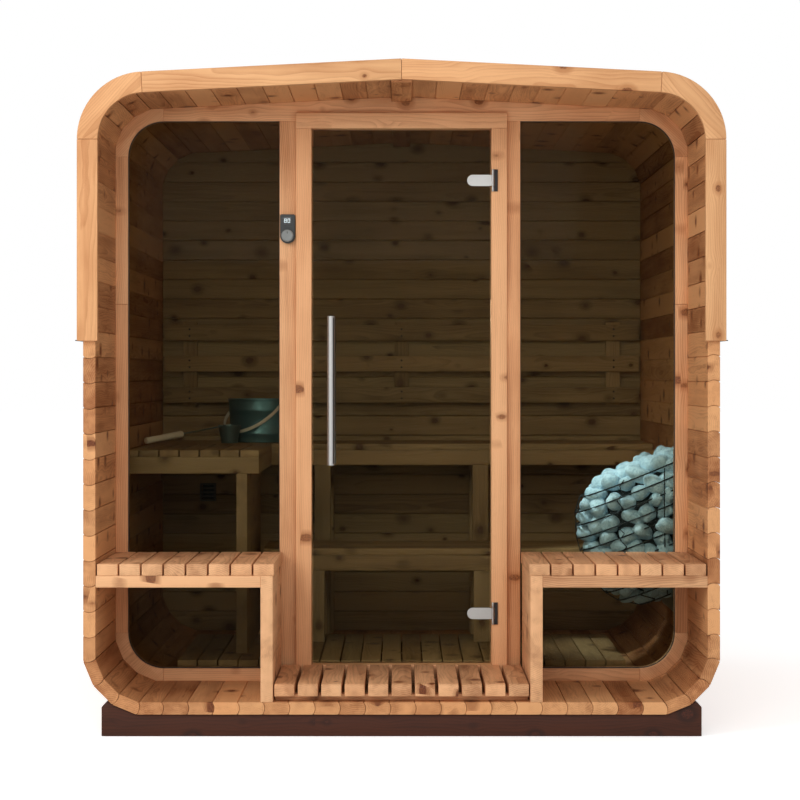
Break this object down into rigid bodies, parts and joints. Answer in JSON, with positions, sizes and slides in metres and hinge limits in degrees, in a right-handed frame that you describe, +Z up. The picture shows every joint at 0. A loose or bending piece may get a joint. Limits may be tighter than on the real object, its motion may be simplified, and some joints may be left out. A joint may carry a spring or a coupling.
{
  "type": "outdoor sauna",
  "caption": "Rounded timber outdoor sauna on cradle beams, with a bench porch, tinted glass front and hinged glass door, slatted benches, a stone heater and a shingled roof.",
  "frame": {"origin": "middle of the footprint on the ground, under the cradle beams", "axes": "+Z up, the porch and the door face -Y, +X is to the right seen from the front"},
  "size_m": [2.22, 2.12, 2.304],
  "materials": {
    "stave_pine": "planed softwood staves, oiled, knots showing",
    "edge_pine": "smooth planed softwood boards",
    "frame_pine": "planed and sanded softwood frame",
    "indoor_wood": "planed heat-treated softwood",
    "stained_wood": "dark brown stain on softwood",
    "roof_felt": "bitumen shingles with mineral grit",
    "drip_metal": "matt black folded sheet",
    "tinted_glass": "bronze tinted safety glass",
    "satin_steel": "satin brushed stainless steel",
    "dark_fitting": "black hinge base",
    "panel_plastic": "dark grey moulded plastic",
    "knob_plastic": "mid grey moulded plastic",
    "vent_plastic": "moulded louvre",
    "cage_steel": "dark heat-proof paint on steel rod",
    "plate_steel": "stainless sheet",
    "sauna_stone": "rounded pale grey stones",
    "pail_metal": "dark blue-green anodised",
    "bail_wood": "pale bent strap",
    "ladle_metal": "satin cup on a thin neck",
    "grip_wood": "pale turned wood"
  },
  "bodies": {
    "root": {"cradle_beams": "stained_wood", "floor_staves": "stave_pine", "wall_staves_left": "stave_pine", "wall_staves_right": "stave_pine", "lower_corner_staves": "stave_pine", "upper_corner_staves": "stave_pine", "ceiling_staves": "stave_pine", "ridge_stave": "stave_pine", "roof_covering": "roof_felt", "drip_edges": "drip_metal", "front_edge_boards": "edge_pine", "back_edge_boards": "edge_pine", "back_wall": "indoor_wood", "air_vent": "vent_plastic", "front_header": "frame_pine", "front_bottom_rails": "frame_pine", "front_side_rails": "frame_pine", "front_corners": "frame_pine", "mullion_left": "frame_pine", "mullion_right": "frame_pine", "window_left": "tinted_glass", "window_right": "tinted_glass", "door_frame_left": "frame_pine", "door_frame_right": "frame_pine", "door_frame_head": "frame_pine", "door_sill": "frame_pine", "hinge_bases": "dark_fitting", "control_panel": "panel_plastic", "porch_seats": "stave_pine", "porch_bench_rails": "stave_pine", "porch_panel_left": "stave_pine", "porch_panel_right": "stave_pine", "step_slats": "stave_pine", "step_bearers": "stave_pine", "upper_bench": "indoor_wood", "lower_bench": "indoor_wood", "side_bench": "indoor_wood", "bench_aprons": "indoor_wood", "bench_battens": "indoor_wood", "bench_posts": "indoor_wood", "side_bench_panel": "indoor_wood", "backrest": "indoor_wood", "backrest_battens": "indoor_wood", "duckboard": "indoor_wood", "duckboard_bearers": "indoor_wood", "heater_stones": "sauna_stone", "heater_cage": "cage_steel", "heater_plate": "plate_steel", "pail": "pail_metal", "pail_bail": "bail_wood", "ladle": "ladle_metal", "ladle_grip": "grip_wood"},
    "door": {"door_glass": "tinted_glass", "hinge_leaves": "satin_steel", "door_handle": "satin_steel"},
    "control_knob": {"control_knob": "knob_plastic"}
  },
  "joints": [
    {"name": "door_hinge", "type": "hinge", "parent": "root", "child": "door", "pos_m": [0.331, -0.5685, 0.366], "axis": [0, 0, 1], "range_deg": [0, 100]},
    {"name": "knob_turn", "type": "hinge", "parent": "root", "child": "control_knob", "pos_m": [-0.414, -0.572, 1.736], "axis": [0, -1, 0], "continuous": true}
  ]
}
